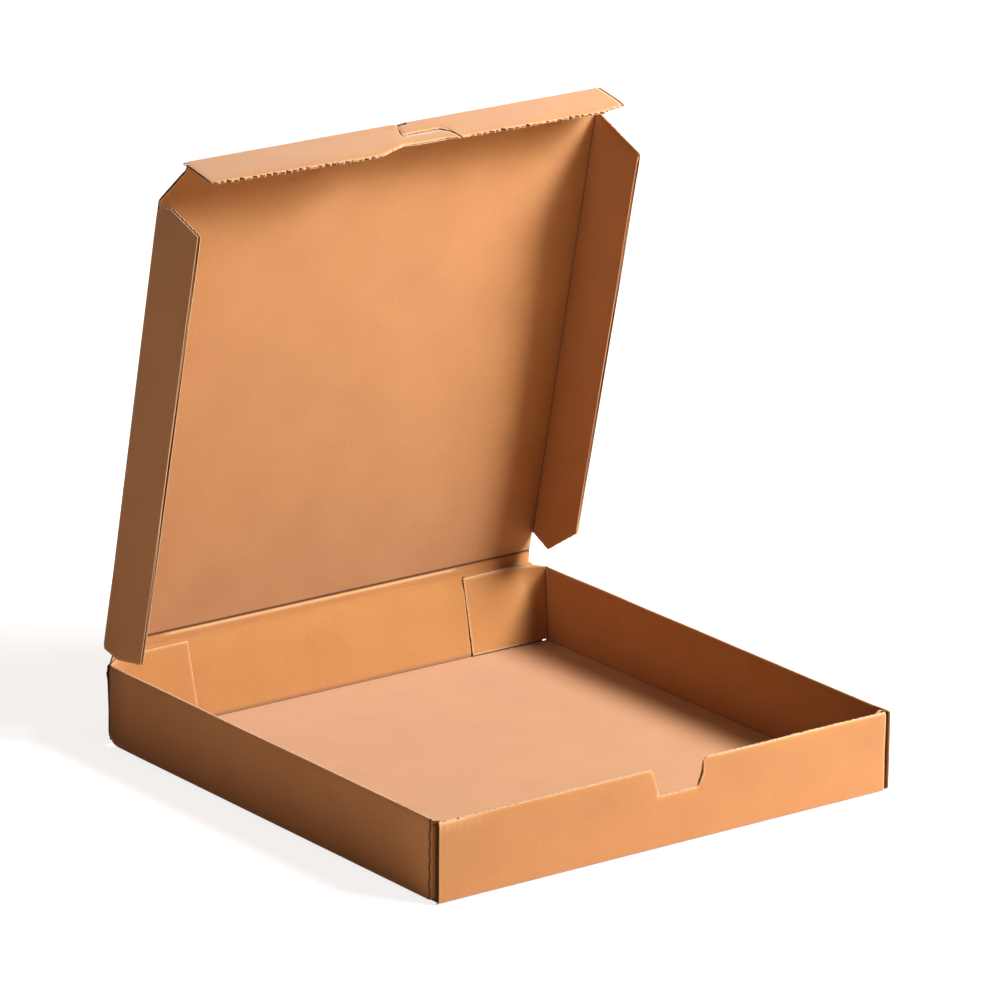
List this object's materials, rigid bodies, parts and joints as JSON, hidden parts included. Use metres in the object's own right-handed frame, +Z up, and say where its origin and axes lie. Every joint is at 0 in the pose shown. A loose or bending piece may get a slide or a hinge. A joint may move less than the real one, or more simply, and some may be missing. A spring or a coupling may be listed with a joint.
{
  "type": "pizza box",
  "caption": "Open square take-away box of plain corrugated board, with low walls, a thumb notch, and a hinged lid with side and front flaps.",
  "frame": {"origin": "middle of the tray's underside, on the surface that the box stands on", "axes": "+X to the right along the front wall, +Y from the front wall to the back wall, +Z up"},
  "size_m": [0.305, 0.3186, 0.3399],
  "materials": {
    "board": "matte"
  },
  "bodies": {
    "tray_body": {"tray": "board"},
    "back_wall_body": {"back_wall": "board", "rear_tab_left": "board", "rear_tab_right": "board"},
    "lid": {"lid_panel": "board"},
    "left_flap": {"lid_left_flap": "board"},
    "right_flap": {"lid_right_flap": "board"},
    "front_flap": {"lid_front_flap": "board"}
  },
  "joints": [
    {"name": "back_wall_fold", "type": "hinge", "parent": "tray_body", "child": "back_wall_body", "pos_m": [0, 0.1518, 0.0012], "axis": [1, 0, 0], "range_deg": [-19.4, 15.05]},
    {"name": "lid_hinge", "type": "hinge", "parent": "back_wall_body", "child": "lid", "pos_m": [0, 0.16435, 0.04805], "axis": [1, 0, 0], "range_deg": [-82.05, 63.6]},
    {"name": "left_flap_crease", "type": "hinge", "parent": "lid", "child": "left_flap", "pos_m": [-0.1465, 0.16435, 0.04805], "axis": [0, 0.1977, -0.9803], "range_deg": [-10, 88]},
    {"name": "right_flap_crease", "type": "hinge", "parent": "lid", "child": "right_flap", "pos_m": [0.1465, 0.16435, 0.04805], "axis": [0, -0.1977, 0.9803], "range_deg": [-10, 88]},
    {"name": "front_flap_crease", "type": "hinge", "parent": "lid", "child": "front_flap", "pos_m": [0, 0.10575, 0.3387], "axis": [-1, 0, 0], "range_deg": [-10, 90]}
  ],
  "couplings": [
    {"joint": "back_wall_fold", "follows": "lid_hinge", "ratio": 0.23585}
  ]
}
